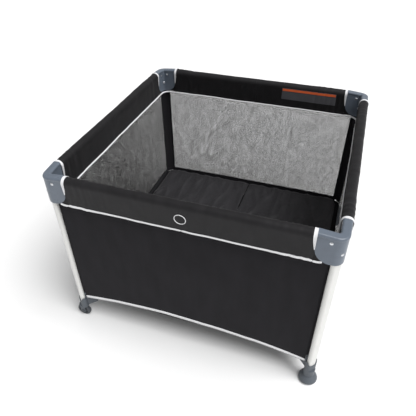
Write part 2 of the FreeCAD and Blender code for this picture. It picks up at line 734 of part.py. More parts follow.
def write_sides():
    """Two rail halves, two sleeve halves, a lock, its button and a wall per side."""
    shapes = {with_tongue: rail_half(with_tongue) for with_tongue in (True, False)}
    sleeves = {over: rail_sleeve(over) for over in (True, False)}
    housing, button = lock_housing(), lock_button()
    sides = {
        "front": (False, -1, {"left": -1, "right": 1}),
        "back": (False, 1, {"left": -1, "right": 1}),
        "left": (True, -1, {"front": -1, "back": 1}),
        "right": (True, 1, {"front": -1, "back": 1}),
    }
    for side, (turned, out, halves) in sides.items():

        def placed(shape, along):
            if turned:
                return to_quadrant(swap(shape), out, along)
            return to_quadrant(shape, along, out)

        for half, along in halves.items():
            # the half on the negative side carries the lock
            has_lock = along < 0
            save(f"rail_{side}_{half}", placed(shapes[not has_lock], along))
            save(f"rail_sleeve_{side}_{half}", placed(sleeves[has_lock], along))
        save(f"lock_housing_{side}", [placed(s, -1) for s in housing])
        save(f"lock_button_{side}", placed(button, -1))
        save(f"wall_{side}", placed(wall(), 1))


def write_base():
    """The hub, its pins and cap, the strap, the floor sheet and the mattress."""
    save("hub_body", hub_body())
    save("hub_pins", hub_pins())
    save("hub_cap", hub_cap())
    save("pull_strap", pull_strap())
    save("floor_sheet", floor_sheet())
    save("mattress", mattress())


os.makedirs("parts", exist_ok=True)
write_corners()
write_sides()
write_base()
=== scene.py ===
"""Looks of a square folding playpen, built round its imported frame.

The frame gives the tubes, brackets, locks, wheels and the place of every soft part. This script
adds the sewn parts (walls, padded rail sleeves, bindings, mattress, floor sheet), the foot wings,
the finishes, the floor, the lights and the camera. Metres, +Z up, the front of the pen at -Y.
"""
import json
import logging
import math
from collections.abc import Callable
from dataclasses import dataclass
from enum import Enum

import bpy
import numpy as np
from mathutils import Matrix, Vector, noise


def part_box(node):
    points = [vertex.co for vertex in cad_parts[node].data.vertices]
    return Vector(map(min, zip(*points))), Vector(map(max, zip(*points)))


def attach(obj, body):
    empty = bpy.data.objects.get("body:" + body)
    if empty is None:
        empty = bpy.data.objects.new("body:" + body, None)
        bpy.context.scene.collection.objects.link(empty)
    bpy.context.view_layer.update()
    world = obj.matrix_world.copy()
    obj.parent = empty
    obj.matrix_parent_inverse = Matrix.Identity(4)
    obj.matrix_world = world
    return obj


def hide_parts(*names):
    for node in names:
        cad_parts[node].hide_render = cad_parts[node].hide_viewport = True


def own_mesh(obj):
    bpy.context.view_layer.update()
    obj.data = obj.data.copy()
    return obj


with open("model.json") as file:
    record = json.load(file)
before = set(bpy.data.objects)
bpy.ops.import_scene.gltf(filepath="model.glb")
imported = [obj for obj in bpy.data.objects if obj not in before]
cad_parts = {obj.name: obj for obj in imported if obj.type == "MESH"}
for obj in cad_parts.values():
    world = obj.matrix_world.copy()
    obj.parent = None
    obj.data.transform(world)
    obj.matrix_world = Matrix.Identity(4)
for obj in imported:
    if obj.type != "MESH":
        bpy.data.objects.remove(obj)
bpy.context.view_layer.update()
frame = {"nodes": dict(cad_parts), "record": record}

LOG = logging.getLogger("playpen")
Piece = bpy.types.Object
Socket = bpy.types.NodeSocket
Material = bpy.types.Material
Points = np.ndarray
Pair = tuple[float, float]
Colour = tuple[float, float, float]
Paint = tuple[float, float, float, float]
BODIES: dict[str, list[str]] = frame["record"]["behaviour"]["bodies"]
UP = np.array([0.0, 0.0, 1.0])
SEED_STEP = 7.3  # from one ripple pattern to the next
WAVES_PER_UNIT = 0.314  # a wave texture's scale that gives one wave per unit


# ---- small tools ----
def linear(colour: Colour) -> Paint:
    """Turns a colour given in 0 to 255 into a shader's linear colour.

    Args:
        colour: Red, green and blue as a painter's chart gives them.

    Returns:
        The linear colour with full alpha.
    """
    parts = [c / 255 for c in colour]
    curve = [p / 12.92 if p <= 0.04045 else ((p + 0.055) / 1.055) ** 2.4 for p in parts]
    return (curve[0], curve[1], curve[2], 1.0)


def body_holding(node: str) -> str:
    """Returns the body that holds a CAD node."""
    return next(body for body, nodes in BODIES.items() if node in nodes)


def clear_selection() -> None:
    """Leaves nothing selected, since an operator acts on all that is selected."""
    if bpy.context.mode != "OBJECT":
        bpy.ops.object.mode_set(mode="OBJECT")
    bpy.ops.object.select_all(action="DESELECT")


def take(piece: Piece) -> None:
    """Makes a piece the only selected one and the active one."""
    clear_selection()
    piece.select_set(True)
    bpy.context.view_layer.objects.active = piece


def named(name: str) -> Piece:
    """Names the piece that was just added and returns it."""
    piece = bpy.context.active_object
    piece.name = piece.data.name = name
    return piece


def settle(piece: Piece) -> None:
    """Puts a piece's place, turn and scale into its mesh."""
    take(piece)
    bpy.ops.object.transform_apply(location=True, rotation=True, scale=True)


def finish_with(piece: Piece, kind: str, **settings: object) -> None:
    """Adds a modifier to a piece and applies it.

    Args:
        piece: The piece to change.
        kind: The modifier's type.
        settings: The modifier's settings by name.
    """
    modifier = piece.modifiers.new(kind.lower(), kind)
    for name, value in settings.items():
        setattr(modifier, name, value)
    take(piece)
    bpy.ops.object.modifier_apply(modifier=modifier.name)


def move_points(piece: Piece, rule: Callable[[Points], Points], flip: bool = False) -> None:
    """Moves every point of a piece by a rule.

    Args:
        piece: The piece to shape.
        rule: Takes the points as rows and returns their new places.
        flip: Whether to turn the faces over, where the rule mirrors the piece.
    """
    mesh = piece.data
    flat = np.empty(len(mesh.vertices) * 3, np.float32)
    mesh.vertices.foreach_get("co", flat)
    moved = rule(flat.reshape(-1, 3).astype(float))
    mesh.vertices.foreach_set("co", moved.astype(np.float32).ravel())
    mesh.update()
    if flip:
        edit(piece, bpy.ops.mesh.flip_normals)


def edit(piece: Piece, *steps: Callable[[], object]) -> None:
    """Runs edit-mode steps on a whole piece.

    Args:
        piece: The piece to edit, with everything in it selected first.
        steps: Calls to make in edit mode, in order.
    """
    take(piece)
    bpy.ops.object.mode_set(mode="EDIT")
    bpy.ops.mesh.select_all(action="SELECT")
    for step in steps:
        step()
    bpy.ops.object.mode_set(mode="OBJECT")


def smooth(piece: Piece, angle: float = 50.0) -> None:
    """Shades a piece smooth across edges flatter than an angle in degrees."""
    take(piece)
    bpy.ops.object.shade_smooth_by_angle(angle=math.radians(angle))


def ripple(x: Points, y: Points, stretch: Pair, seed: float) -> Points:
    """Smooth random heights from -1 to 1, the same on every run.

    Args:
        x: Places one way.
        y: Places the other way.
        stretch: How many ripples there are per metre each way.
        seed: Which pattern.

    Returns:
        One height per place.
    """
    level = seed * SEED_STEP
    places = zip(x * stretch[0], y * stretch[1])
    return np.array([noise.noise(Vector((u, v, level))) for u, v in places])


def ease(low: float, high: float, values: Points) -> Points:
    """Rises smoothly from 0 at low to 1 at high."""
    t = np.clip((values - low) / (high - low), 0, 1)
    return t * t * (3 - 2 * t)


# ---- finishes ----
class NodeBench:
    """A new material with short calls to add and join its nodes."""

    def __init__(self, name: str) -> None:
        """Starts a material with its Principled shader."""
        self.material = bpy.data.materials.new(f"{name}_finish")
        self.material.use_nodes = True
        self.tree = self.material.node_tree
        self.shader = self.tree.nodes["Principled BSDF"]

    def add(self, kind: str, settings: dict | None = None, **inputs: object) -> bpy.types.Node:
        """Adds a node.

        Args:
            kind: The node's type, without its ShaderNode prefix.
            settings: The node's own properties.
            inputs: Values or sockets for its inputs, with underscores for spaces.

        Returns:
            The node.
        """
        node = self.tree.nodes.new("ShaderNode" + kind)
        for key, value in (settings or {}).items():
            setattr(node, key, value)
        for key, value in inputs.items():
            name = int(key[1:]) if key[1:].isdigit() else key.replace("_", " ")
            self.feed(node.inputs[name], value)
        return node

    def feed(self, socket: Socket, value: object) -> None:
        """Sets a socket to a value, or joins another socket to it."""
        if isinstance(value, Socket):
            self.tree.links.new(value, socket)
        else:
            socket.default_value = value

    def coat(self, **inputs: object) -> Material:
        """Sets or joins the shader's inputs, with underscores for spaces.

        Returns:
            The material.
        """
        for name, value in inputs.items():
            self.feed(self.shader.inputs[name.replace("_", " ")], value)
        return self.material

    def calc(self, kind: str, *values: object) -> Socket:
        """Returns the result of a Math node on its values."""
        places = {f"i{at}": value for at, value in enumerate(values)}
        return self.add("Math", {"operation": kind}, **places).outputs[0]

    def place(self, own_map: bool, stretch: Colour = (1, 1, 1)) -> Socket:
        """Returns the pattern's coordinates: the cloth's own map, or the piece's place."""
        source = self.add("TexCoord").outputs["UV" if own_map else "Object"]
        return self.add("Mapping", Vector=source, Scale=stretch).outputs[0]

    def noise(self, where: Socket, scale: float, detail: float = 3.0) -> Socket:
        """Returns a noise pattern's value."""
        return self.add("TexNoise", Vector=where, Scale=scale, Detail=detail).outputs[0]

    def shade(
        self, factor: Socket, colour: Colour, darker: float, brighter: float
    ) -> Socket:
        """Returns a colour that wanders about its own by shares, with a pattern near 0.5."""
        ramp = self.add("ValToRGB", Fac=factor)
        for stop, place, share in zip(ramp.color_ramp.elements, (0.3, 0.7), (-darker, brighter)):
            stop.position, stop.color = place, lighter(colour, share)
        return ramp.outputs[0]

    def between(self, value: Socket, low: float, high: float) -> Socket:
        """Returns a value that runs from low to high as a pattern runs from 0 to 1."""
        return self.add("MapRange", Value=value, To_Min=low, To_Max=high).outputs[0]

    def emboss(self, height: object, depth: float, strength: float, under: object = None) -> object:
        """Returns a bumped normal, on top of another one if given."""
        bump = self.add("Bump", Height=height, Distance=depth, Strength=strength)
        if under is not None:
            self.feed(bump.inputs["Normal"], under)
        return bump.outputs[0]


def lighter(colour: Colour, share: float) -> Paint:
    """Returns a colour's linear form, brighter by a share, or darker if it is negative."""
    r, g, b, a = linear(colour)
    return (r * (1 + share), g * (1 + share), b * (1 + share), a)


@dataclass(frozen=True)
class WovenCloth:
    """Plain-woven polyester with a soft sheen."""

    name: str
    colour: Colour
    thread: float = 0.0011  # from one thread to the next
    mottle: float = 0.18  # how far the shade wanders
    crease: float = 0.0012  # depth of the small creases
    sheen: float = 0.03
    roughness: float = 0.85
    gloss: float = 0.12
    streaks: Colour = (1.0, 1.0, 1.0)  # stretch of the creases and the shade

    def material(self) -> Material:
        """Builds the cloth's material."""
        bench = NodeBench(self.name)
        cloth = bench.place(True)
        long = bench.place(True, self.streaks)
        wave = WAVES_PER_UNIT / self.thread
        warp = bench.add("TexWave", {"bands_direction": "X"}, Vector=cloth, Scale=wave).outputs[1]
        weft = bench.add("TexWave", {"bands_direction": "Y"}, Vector=cloth, Scale=wave).outputs[1]
        weave = bench.calc("MULTIPLY", warp, weft)
        creased = bench.emboss(bench.noise(long, 34.0, 4.0), self.crease, 0.6)
        return bench.coat(
            Base_Color=bench.shade(
                bench.noise(long, 22.0, 5.0), self.colour, self.mottle, self.mottle
            ),
            Normal=bench.emboss(weave, 0.0002, 0.35, creased),
            Roughness=self.roughness,
            Sheen_Weight=self.sheen,
            Sheen_Roughness=0.45,
            Specular_IOR_Level=self.gloss,
        )


@dataclass(frozen=True)
class OpenNetting:
    """Knitted netting with small open holes. Its two faces shut each other's holes at a slant."""

    name: str
    colour: Colour
    pitch: float = 0.0030  # from one hole to the next
    hole: float = 0.00105  # radius of a hole
    mottle: float = 0.19

    def material(self) -> Material:
        """Builds the netting's material, clear in its holes."""
        bench = NodeBench(self.name)
        cloth = bench.place(True)
        cells = bench.add(
            "TexVoronoi",
            {"voronoi_dimensions": "2D"},
            Vector=cloth,
            Scale=1 / self.pitch,
            Randomness=0.6,
        ).outputs["Distance"]
        edge = bench.calc("MULTIPLY", cells, self.pitch)
        pattern = bench.noise(bench.place(True, (1.0, 0.4, 1.0)), 46.0, 6.0)
        swing, least = self.hole * self.mottle * 2, self.hole * (1 - self.mottle)
        radius = bench.calc("MULTIPLY_ADD", pattern, swing, least)
        return bench.coat(
            Base_Color=linear(self.colour),
            Alpha=bench.calc("GREATER_THAN", edge, radius),
            Normal=bench.emboss(edge, 0.0003, 0.4),
            Roughness=0.7,
            Specular_IOR_Level=0.2,
        )


@dataclass(frozen=True)
class MouldedPlastic:
    """Injection-moulded plastic with a fine grain."""

    name: str
    colour: Colour
    roughness: float = 0.42
    grain: float = 0.00012
    cloud: float = 0.05

    def material(self) -> Material:
        """Builds the plastic's material."""
        bench = NodeBench(self.name)
        where = bench.place(False)
        low, high = self.roughness - 0.07, self.roughness + 0.07
        return bench.coat(
            Base_Color=bench.shade(
                bench.noise(where, 45.0, 4.0), self.colour, self.cloud, self.cloud
            ),
            Roughness=bench.between(bench.noise(where, 160.0), low, high),
            Normal=bench.emboss(bench.noise(where, 1500.0, 2.0), self.grain, 0.5),
        )


@dataclass(frozen=True)
class CoatedSteel:
    """Steel tube under powder paint, with its slight orange peel."""

    name: str
    colour: Colour
    roughness: float = 0.34

    def material(self) -> Material:
        """Builds the paint's material."""
        bench = NodeBench(self.name)
        where = bench.place(False)
        return bench.coat(
            Base_Color=bench.shade(bench.noise(where, 12.0), self.colour, 0.03, 0.02),
            Normal=bench.emboss(bench.noise(where, 420.0, 2.0), 0.00015, 0.35),
            Roughness=self.roughness,
            Coat_Weight=0.25,
            Coat_Roughness=0.2,
        )


@dataclass(frozen=True)
class BareSteel:
    """Zinc-plated steel of pins, rivets and axles."""

    name: str
    colour: Colour
    roughness: float = 0.28

    def material(self) -> Material:
        """Builds the plating's material."""
        bench = NodeBench(self.name)
        where = bench.place(False)
        low, high = self.roughness - 0.08, self.roughness + 0.12
        return bench.coat(
            Base_Color=bench.shade(bench.noise(where, 90.0), self.colour, 0.08, 0.03),
            Roughness=bench.between(bench.noise(where, 300.0), low, high),
            Metallic=1.0,
        )


class Finish(Enum):
    """Every finish on the pen, one per material slot of the record, with the sewn trims."""

    MOULDED_GREY = MouldedPlastic("moulded_grey", (100, 109, 121), 0.3)
    FOOT_GREY = MouldedPlastic("foot_grey", (84, 90, 97), 0.5)
    WHEEL_GREY = MouldedPlastic("wheel_grey", (62, 66, 72), 0.5)
    LEG_WHITE = CoatedSteel("leg_white", (224, 224, 221))
    RAIL_STEEL = CoatedSteel("rail_steel", (178, 181, 186))
    BRIGHT_STEEL = BareSteel("bright_steel", (226, 228, 231))
    LOCK_PLASTIC = MouldedPlastic("lock_plastic", (52, 53, 57), 0.5)
    BUTTON_PLASTIC = MouldedPlastic("button_plastic", (158, 44, 38), 0.4)
    HUB_PLASTIC = MouldedPlastic("hub_plastic", (56, 58, 62), 0.5)
    SLEEVE_FABRIC = WovenCloth(
        "sleeve_fabric",
        (29, 28, 30),
        sheen=0.05,
        gloss=0.22,
        roughness=0.6,
        crease=0.002,
        streaks=(1.4, 0.5, 1.0),
    )
    WALL_FABRIC = WovenCloth(
        "wall_fabric", (36, 35, 38), mottle=0.12, streaks=(1.0, 0.3, 1.0), crease=0.0008
    )
    WALL_MESH = OpenNetting("wall_mesh", (44, 43, 43))
    FLOOR_FABRIC = WovenCloth("floor_fabric", (26, 26, 28))
    MATTRESS_FABRIC = WovenCloth(
        "mattress_fabric",
        (36, 35, 38),
        crease=0.005,
        sheen=0.12,
        gloss=0.5,
        roughness=0.55,
        streaks=(1.2, 0.5, 1.0),
    )
    WEBBING = WovenCloth("webbing", (32, 32, 35), thread=0.0022)
    BINDING = WovenCloth("binding_white", (234, 234, 236), thread=0.0013, mottle=0.04)
    # grey of the cord under the hem tape: painted shade of the tape's lower side
    BINDING_STITCH = WovenCloth("binding_stitch", (150, 150, 152), mottle=0.08)
    LABEL_CLOTH = WovenCloth("label_cloth", (88, 88, 92), thread=0.0007, mottle=0.05)
    LABEL_BAND = WovenCloth("label_band", (240, 112, 66), thread=0.0007, mottle=0.05)

    @property
    def material(self) -> Material:
        """The finish's material, built the first time that it is asked for."""
        return bpy.data.materials.get(f"{self.value.name}_finish") or self.value.material()


def dress(piece: Piece, *finishes: Finish) -> None:
    """Gives a piece its finishes, one per material slot."""
    piece.data.materials.clear()
    for finish in finishes:
        piece.data.materials.append(finish.material)


# ---- the pen's shape ----
class Side(Enum):
    """The four sides of the pen, with the outward and the along direction of each."""

    FRONT = ("front", (0, -1), (1, 0), ("left", "right"))
    BACK = ("back", (0, 1), (1, 0), ("left", "right"))
    LEFT = ("left", (-1, 0), (0, 1), ("front", "back"))
    RIGHT = ("right", (1, 0), (0, 1), ("front", "back"))

    @property
    def label(self) -> str:
        """The side's name in piece names."""
        return self.value[0]

    @property
    def halves(self) -> tuple[str, str]:
        """The names of the half at the low end and the half at the high end."""
        return self.value[3]

    @property
    def outward(self) -> Points:
        """The level direction out of the pen."""
        return np.array([*self.value[1], 0.0])

    @property
    def axis(self) -> Colour:
        """The direction along the side."""
        return (*self.value[2], 0)

    @property
    def mirrored(self) -> bool:
        """True if along, outwards and up form a left-handed set."""
        (ox, oy), (ax, ay) = self.value[1], self.value[2]
        return ax * oy - ay * ox < 0

    def place(self, along: Points, out: Points, up: Points) -> Points:
        """Turns distances along the side, outwards and up into places.

        Args:
            along: Distance along the side from its middle.
            out: Distance from the middle of the pen.
            up: Height.

        Returns:
            The places as rows.
        """
        (ox, oy), (ax, ay) = self.value[1], self.value[2]
        return np.stack([along * ax + out * ox, along * ay + out * oy, up + 0 * along], axis=1)


class Quarter(Enum):
    """The four quarters of the pen, each with a corner, a leg and a strut."""

    FRONT_LEFT = (-1, -1)
    FRONT_RIGHT = (1, -1)
    BACK_LEFT = (-1, 1)
    BACK_RIGHT = (1, 1)

    @property
    def label(self) -> str:
        """The quarter's name in piece and body names."""
        return self.name.lower()

    @property
    def tangent(self) -> Colour:
        """The level direction across the quarter's diagonal."""
        x, y = self.value
        return (-y / math.sqrt(2), x / math.sqrt(2), 0.0)

    def place(self, x: Points, y: Points, up: Points) -> Points:
        """Turns places in the +X +Y quarter into this quarter's."""
        return np.stack([x * self.value[0], y * self.value[1], up], axis=1)

    @property
    def mirrored(self) -> bool:
        """True if turning the +X +Y quarter into this one mirrors it."""
        return self.value[0] * self.value[1] < 0

    def fold_in(self, piece: Piece) -> None:
        """Gives a piece its own copy of its mesh."""
        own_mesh(piece)


def middle(node: str, axis: int) -> float:
    """Returns the middle of a CAD node's box along an axis."""
    low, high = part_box(node)
    return (low[axis] + high[axis]) / 2


@dataclass(frozen=True)
class PenSizes:
    """Sizes that the frame gives, read off the CAD nodes' boxes."""

    rail_plane: float = middle("rail_sleeve_back_right", 1)
    rail_axis: float = middle("rail_back_right", 2)
    sleeve_start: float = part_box("rail_sleeve_back_right")[0].x
    sleeve_end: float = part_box("rail_sleeve_back_right")[1].x
    flap_low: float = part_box("rail_sleeve_back_right")[0].z + 0.0008
    wall_plane: float = middle("wall_back", 1)
    wall_half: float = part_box("wall_back")[1].x
    wall_top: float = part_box("wall_back")[1].z
    leg_axis: float = middle("leg_back_right", 0)
    bracket_low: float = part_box("corner_bracket_back_right")[0].z


SIZES = PenSizes()
BASE_SEAM = 0.0006  # from the pen's middle lines to a base quarter
SLEEVE_GAP = 0.0002  # from a sleeve's end to the pieces that go on from it
INNER_PIPING = 0.0036  # size of the piping on the inner flaps


def cloth_grid(name: str, size: Pair, cells: tuple[int, int]) -> Piece:
    """A flat piece of cloth, cut to size, whose own map is in metres.

    Args:
        name: The piece's name.
        size: Its length in X and Y.
        cells: How many cells it has each way.

    Returns:
        The piece, centred on the origin.
    """
    clear_selection()
    bpy.ops.mesh.primitive_grid_add(x_subdivisions=cells[0], y_subdivisions=cells[1], size=1)
    piece = named(name)
    piece.scale = (size[0], size[1], 1)
    settle(piece)
    layer = piece.data.uv_layers.active.data
    flat = np.empty(len(layer) * 2, np.float32)
    layer.foreach_get("uv", flat)
    layer.foreach_set("uv", (flat.reshape(-1, 2) * np.array(size)).astype(np.float32).ravel())
    return piece


def thicken(piece: Piece, thickness: float, offset: float = 0.0) -> None:
    """Gives cloth its thickness and shades it smooth."""
    finish_with(piece, "SOLIDIFY", thickness=thickness, offset=offset, use_rim=True)
    smooth(piece, 60.0)


def hang(piece: Piece, body: str, slot: str, *nodes: str) -> None:
    """Fixes a piece to its body, hides the CAD nodes that it replaces, and logs it.

    Args:
        piece: The finished piece.
        body: The CAD body that it moves with.
        slot: The record's material slot of its finish; not used.
        nodes: The CAD nodes that it replaces.
    """
    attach(piece, body)
    if nodes:
        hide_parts(*nodes)
    LOG.info("%s on %s: %d faces", piece.name, body, len(piece.data.polygons))


def roll(
    name: str,
    line: Points,
    across: Points,
    half: Pair,
    finish: Finish,
    round_cells: int = 10,
    swell: float | Points = 1.0,
) -> Piece:
    """A filled roll of tape, such as piping, along a line.

    Args:
        name: The piece's name.
        line: The points down its middle, as rows.
        across: The level unit direction across it at each point, or one for all.
        half: Its half width across and its half height.
        finish: Its finish.
        round_cells: How many faces it has round its girth.
        swell: How much thicker it is than its half sizes, at each point or all along.

    Returns:
        The roll, closed at both ends.
    """
    stations = len(line)
    length = float(np.linalg.norm(np.diff(line, axis=0), axis=1).sum())
    girth = math.pi * (half[0] + half[1])
    piece = cloth_grid(name, (length, girth), (stations - 1, round_cells))

    def wrap(points: Points) -> Points:
        """Wraps the flat tape round the line."""
        at = np.rint((points[:, 0] / length + 0.5) * (stations - 1)).astype(int)
        angle = (points[:, 1] / girth) * 2 * math.pi
        side = np.broadcast_to(across, (stations, 3))[at]
        ends = np.where((at == 0) | (at == stations - 1), 0.55, 1.0)
        ends = ends * np.broadcast_to(swell, stations)[at]
        return (
            line[at]
            + (half[0] * ends * np.cos(angle))[:, None] * side
            + (half[1] * ends * np.sin(angle))[:, None] * UP
        )

    move_points(piece, wrap)
    edit(
        piece,
        lambda: bpy.ops.mesh.remove_doubles(threshold=1e-6),
        lambda: bpy.ops.mesh.select_all(action="DESELECT"),
        lambda: bpy.ops.mesh.select_non_manifold(),
        lambda: bpy.ops.mesh.fill_holes(sides=0),
        lambda: bpy.ops.mesh.select_all(action="SELECT"),
        lambda: bpy.ops.mesh.normals_make_consistent(inside=False),
    )
    smooth(piece, 70.0)
    dress(piece, finish)
    return piece


def piping_roll(
    name: str, line: Points, across: Points, size: float, swell: float | Points = 1.0
) -> Piece:
    """A white piping of a given size along a line, as roll() makes it."""
    return roll(name, line, across, (size * 0.9, size * 1.1), Finish.BINDING, 8, swell)


# ---- walls ----
@dataclass
class FabricWall:
    """One side wall: cloth or netting with solid edges, a bound hem, and a grey cord under the hem
    that is painted shade.
    """

    side: Side
    netting: bool
    cells: tuple[int, int] = (96, 48)
    thickness: float = 0.0011
    strip: float = 0.005  # solid cloth at each end of a netting wall
    band: float = 0.172  # top of the solid cloth along the hem
    tuck: float = 0.012  # how far the cloth reaches up between the sleeve's flaps
    hem_height: float = 0.141
    hem_drop: Pair = (0.005, 0.005)
    hem_peak: float = -0.08
    tape: Pair = (0.0019, 0.0045)

    @property
    def node(self) -> str:
        """The CAD node that the wall stands for."""
        return f"wall_{self.side.label}"

    def hem(self, along: Points) -> Points:
        """The hem's height: it arches up between the feet."""
        low = np.clip((self.hem_peak - along) / (SIZES.wall_half + self.hem_peak), 0, 1)
        high = np.clip((along - self.hem_peak) / (SIZES.wall_half - self.hem_peak), 0, 1)
        return self.hem_height - self.hem_drop[0] * low**2 - self.hem_drop[1] * high**2.2

    def drape(self, along: Points, up: Points) -> Points:
        """How far the cloth stands out of its plane: slack folds that die out at the edges."""
        inner = ease(0, 0.1, SIZES.wall_half - np.abs(along)) * ease(0, 0.08, SIZES.wall_top - up)
        seed = 3.0 + len(self.side.label) * 1.7
        broad = ripple(along, up, (3.5, 1.6), seed) * (0.003 if self.netting else 0.0028)
        fine = ripple(along, up, (26.0, 6.0), seed + 1) * 0.0007
        slack = ripple(along, up, (9.0, 16.0), seed + 2) * 0.0022 * ease(0.22, 0.12, up)
        return (broad + fine) * inner + slack

    def panel(self) -> Piece:
        """Builds the cloth itself."""
        width = 2 * SIZES.wall_half
        top = SIZES.wall_top + self.tuck
        height = top - self.hem_height + max(self.hem_drop)
        piece = cloth_grid(f"{self.node}_cloth", (width, height), self.cells)

        def stand(points: Points) -> Points:
            """Stands the cloth on its side of the pen."""
            along = points[:, 0]
            share = points[:, 1] / height + 0.5
            low = self.hem(along)
            up = low + share * (top - low)
            return self.side.place(along, SIZES.wall_plane + self.drape(along, up), up)

        move_points(piece, stand, flip=not self.side.mirrored)
        if self.netting:
            dress(piece, Finish.WALL_MESH, Finish.WALL_FABRIC)
            self.solid_edges(piece)
        else:
            dress(piece, Finish.WALL_FABRIC)
        thicken(piece, self.thickness)
        return piece

    def solid_edges(self, piece: Piece) -> None:
        """Makes the ends and the lower band of a netting wall of solid cloth."""
        along = Vector(self.side.axis)
        for face in piece.data.polygons:
            near_end = SIZES.wall_half - abs(face.center.dot(along)) < self.strip
            face.material_index = 1 if near_end or face.center.z < self.band else 0

    def tapes(self) -> list[Piece]:
        """Builds the white tape that binds the hem, with its thin edge and a grey cord along it
        that is painted shade under the tape.
        """
        along = np.linspace(-SIZES.wall_half, SIZES.wall_half, 121)
        made = []
        for name, lift, half, finish in (
            ("hem_tape", 0.0, self.tape, Finish.BINDING),
            ("hem_edge", -0.0068, (0.0010, 0.0030), Finish.BINDING),
            # grey cord under the tape: painted shade of the tape's lower side
            ("hem_cord", -0.0103, (0.0012, 0.0012), Finish.BINDING_STITCH),
        ):
            up = self.hem(along)
            out = SIZES.wall_plane + self.drape(along, up)
            line = self.side.place(along, out, up + lift)
            name = f"{name}_{self.side.label}"
            made.append(roll(name, line, self.side.outward, half, finish))
        return made

    def build(self) -> None:
        """Builds the wall and hangs it on the leg that holds it."""
        body = body_holding(self.node)
        cloth = self.panel()
        slot = "wall_mesh" if self.netting else "wall_fabric"
        tapes = self.tapes()
        hang(cloth, body, slot, self.node)
        for tape in tapes:
            hang(tape, body, slot)
        for piece in (cloth, *tapes):
            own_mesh(piece)
        [f"rail_sleeve_{self.side.label}_{half}" for half in self.side.halves]


@dataclass
class CornerStrip:
    """The upright strip of solid cloth behind a leg, between two walls."""

    quarter: Quarter
    low: float = 0.149  # its lower end
    thickness: float = 0.0011
    bow: float = 0.0032  # how far it is drawn out toward the leg

    def build(self) -> None:
        """Builds the strip and fixes it to its leg."""
        near, far = SIZES.wall_half, SIZES.wall_plane
        width = math.sqrt(2) * (far - near)
        high = SIZES.bracket_low - 0.001
        flat = (width, high - self.low)
        leg = f"leg_{self.quarter.label}"
        piece = cloth_grid(f"corner_strip_{self.quarter.label}", flat, (6, 40))

        def stand(points: Points) -> Points:
            """Stands the strip across the corner, bowed out to the leg."""
            share = points[:, 0] / width + 0.5
            bow = self.bow * np.sin(share * math.pi)
            up = points[:, 1] + (high + self.low) / 2
            x = near + share * (far - near) + bow
            y = far - share * (far - near) + bow
            return self.quarter.place(x, y, up)

        move_points(piece, stand, flip=self.quarter.mirrored)
        dress(piece, Finish.WALL_FABRIC)
        thicken(piece, self.thickness)
        hang(piece, leg, "wall_fabric")


# ---- top rails ----
@dataclass
class HalfSide:
    """Half of one side of the pen."""

    side: Side
    half: int  # 0 is the half at the low end of the side

    @property
    def label(self) -> str:
        """The side and the half, as piece names have them."""
        return f"{self.side.label}_{self.side.halves[self.half]}"

    @property
    def sign(self) -> int:
        """Which way the half runs from the middle of its side."""
        return 1 if self.half else -1


